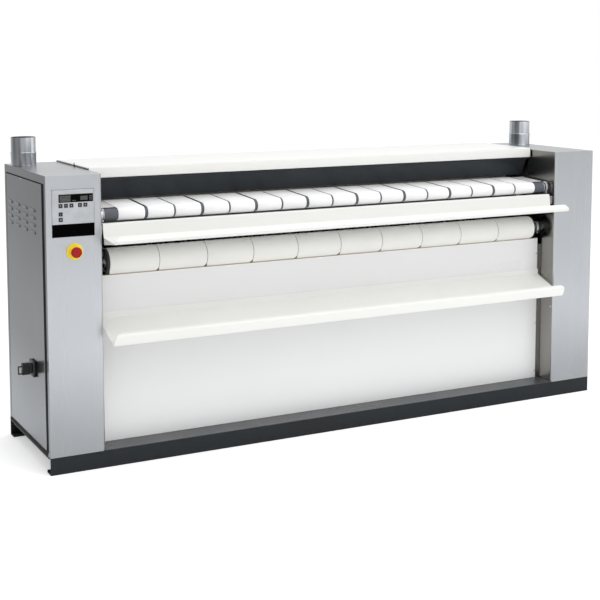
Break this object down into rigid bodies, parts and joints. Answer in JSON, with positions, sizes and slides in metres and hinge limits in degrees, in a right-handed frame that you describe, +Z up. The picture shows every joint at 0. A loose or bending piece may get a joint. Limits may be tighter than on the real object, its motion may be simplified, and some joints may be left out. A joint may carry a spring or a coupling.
{
  "type": "chest ironer",
  "caption": "Flatwork ironer: padded roll in a heated chest between steel columns, feed belts above a table, return belts and a receiving tray below.",
  "frame": {"origin": "middle of the front base beam's underside, on the floor", "axes": "+X to the right along the roll as the operator sees it, +Y to the back, +Z up"},
  "size_m": [2.6258, 0.7052, 1.2355],
  "materials": {
    "brushed_stainless": "vertical brushed grain, satin",
    "white_enamel": "smooth white enamel, semi-gloss",
    "base_paint": "dark grey paint, satin",
    "guard_paint": "dark grey paint, satin",
    "galvanised": "galvanised sheet, mottled",
    "roller_rubber": "dark grey, matte",
    "belt_cloth": "white woven belting, matte",
    "roll_padding": "felt padding, matte",
    "machined_steel": "turned, bright",
    "polished_chest": "polished, smooth",
    "cast_iron": "painted casting, matte",
    "motor_paint": "blue-grey paint",
    "belt_rubber": "black rubber",
    "fascia": "satin grey overlay",
    "display": "dark window, glossy",
    "black_plastic": "black, satin",
    "stop_yellow": "yellow plastic",
    "stop_red": "red plastic"
  },
  "bodies": {
    "machine": {"base_frame": "base_paint", "base_pan": "base_paint", "column_left": "brushed_stainless", "column_right": "brushed_stainless", "side_panel_left": "brushed_stainless", "side_panel_right": "brushed_stainless", "top_cover": "white_enamel", "front_panel": "white_enamel", "feed_table": "white_enamel", "receiving_tray": "white_enamel", "back_panel": "galvanised", "linen_deflector": "galvanised", "chest_jacket": "galvanised", "exhaust_duct_left": "galvanised", "exhaust_duct_right": "galvanised", "fan_housing_left": "galvanised", "fan_housing_right": "galvanised", "feed_belts": "belt_cloth", "return_belts": "belt_cloth", "roll_bearing_left": "cast_iron", "roll_bearing_right": "cast_iron", "feed_plate_left": "cast_iron", "feed_plate_right": "cast_iron", "return_plate_left": "cast_iron", "return_plate_right": "cast_iron", "drive_belt": "belt_rubber", "transfer_belt": "belt_rubber", "heated_chest": "polished_chest", "chest_heater": "machined_steel", "gearmotor": "motor_paint", "feed_motor": "motor_paint", "fan_motor_left": "motor_paint", "fan_motor_right": "motor_paint", "control_fascia": "fascia", "display_window": "display", "control_board": "black_plastic", "stop_disc": "stop_yellow", "isolator_plate": "black_plastic"},
    "roll": {"roll_core": "machined_steel", "roll_padding": "roll_padding", "roll_pulley_left": "cast_iron", "roll_pulley_right": "cast_iron"},
    "feed_front": {"feed_roller_front": "roller_rubber"},
    "feed_rear": {"feed_roller_rear": "roller_rubber"},
    "return_front": {"return_roller_front": "roller_rubber"},
    "return_rear": {"return_roller_rear": "roller_rubber"},
    "motor_shaft": {"motor_pulley": "cast_iron"},
    "fan_wheel_left": {"fan_impeller_left": "galvanised"},
    "fan_wheel_right": {"fan_impeller_right": "galvanised"},
    "guard": {"finger_guard": "guard_paint"},
    "key_cap_1": {"key_1": "black_plastic"},
    "key_cap_2": {"key_2": "black_plastic"},
    "key_cap_3": {"key_3": "black_plastic"},
    "key_cap_4": {"key_4": "black_plastic"},
    "key_cap_5": {"key_5": "black_plastic"},
    "key_cap_6": {"key_6": "black_plastic"},
    "key_cap_7": {"key_7": "black_plastic"},
    "stop_button": {"stop_stem": "black_plastic"},
    "stop_cap": {"stop_head": "stop_red"},
    "isolator": {"isolator_handle": "black_plastic"}
  },
  "joints": [
    {"name": "roll_spin", "type": "hinge", "parent": "machine", "child": "roll", "pos_m": [0, 0.371, 0.94], "axis": [1, 0, 0], "continuous": true},
    {"name": "feed_front_spin", "type": "hinge", "parent": "machine", "child": "feed_front", "pos_m": [0, 0.0415, 0.9605], "axis": [1, 0, 0], "continuous": true},
    {"name": "feed_rear_spin", "type": "hinge", "parent": "machine", "child": "feed_rear", "pos_m": [0, 0.211, 0.9695], "axis": [1, 0, 0], "continuous": true},
    {"name": "return_front_spin", "type": "hinge", "parent": "machine", "child": "return_front", "pos_m": [0, 0.101, 0.7695], "axis": [1, 0, 0], "continuous": true},
    {"name": "return_rear_spin", "type": "hinge", "parent": "machine", "child": "return_rear", "pos_m": [0, 0.396, 0.705], "axis": [1, 0, 0], "continuous": true},
    {"name": "motor_spin", "type": "hinge", "parent": "machine", "child": "motor_shaft", "pos_m": [-1.102, 0.371, 0.15], "axis": [1, 0, 0], "continuous": true},
    {"name": "fan_left_spin", "type": "hinge", "parent": "machine", "child": "fan_wheel_left", "pos_m": [-1.228, 0.376, 0.89], "axis": [1, 0, 0], "continuous": true},
    {"name": "fan_right_spin", "type": "hinge", "parent": "machine", "child": "fan_wheel_right", "pos_m": [1.228, 0.376, 0.89], "axis": [1, 0, 0], "continuous": true},
    {"name": "finger_guard_swing", "type": "hinge", "parent": "machine", "child": "guard", "pos_m": [0, 0.175, 1.083], "axis": [1, 0, 0], "range_deg": [0, 12]},
    {"name": "key_1_press", "type": "slide", "parent": "machine", "child": "key_cap_1", "axis": [0, 1, 0], "range_m": [0, 0.0008], "stiffness_N_per_m": 500},
    {"name": "key_2_press", "type": "slide", "parent": "machine", "child": "key_cap_2", "axis": [0, 1, 0], "range_m": [0, 0.0008], "stiffness_N_per_m": 500},
    {"name": "key_3_press", "type": "slide", "parent": "machine", "child": "key_cap_3", "axis": [0, 1, 0], "range_m": [0, 0.0008], "stiffness_N_per_m": 500},
    {"name": "key_4_press", "type": "slide", "parent": "machine", "child": "key_cap_4", "axis": [0, 1, 0], "range_m": [0, 0.0008], "stiffness_N_per_m": 500},
    {"name": "key_5_press", "type": "slide", "parent": "machine", "child": "key_cap_5", "axis": [0, 1, 0], "range_m": [0, 0.0008], "stiffness_N_per_m": 500},
    {"name": "key_6_press", "type": "slide", "parent": "machine", "child": "key_cap_6", "axis": [0, 1, 0], "range_m": [0, 0.0008], "stiffness_N_per_m": 500},
    {"name": "key_7_press", "type": "slide", "parent": "machine", "child": "key_cap_7", "axis": [0, 1, 0], "range_m": [0, 0.0008], "stiffness_N_per_m": 500},
    {"name": "stop_push", "type": "slide", "parent": "machine", "child": "stop_button", "axis": [0, 1, 0], "range_m": [0, 0.004]},
    {"name": "stop_twist", "type": "hinge", "parent": "stop_button", "child": "stop_cap", "pos_m": [-1.1735, -0.05, 0.838], "axis": [0, 1, 0], "range_deg": [0, 45], "stiffness_Nm_per_rad": 0.05},
    {"name": "isolator_turn", "type": "hinge", "parent": "machine", "child": "isolator", "pos_m": [-1.31, 0.181, 0.366], "axis": [1, 0, 0], "range_deg": [0, 90]}
  ],
  "couplings": [
    {"joint": "feed_front_spin", "follows": "roll_spin", "ratio": -4.4715},
    {"joint": "feed_rear_spin", "follows": "roll_spin", "ratio": -4.4715},
    {"joint": "return_front_spin", "follows": "roll_spin", "ratio": 2.1073},
    {"joint": "return_rear_spin", "follows": "roll_spin", "ratio": 2.1073},
    {"joint": "motor_spin", "follows": "roll_spin", "ratio": 2.2857}
  ]
}
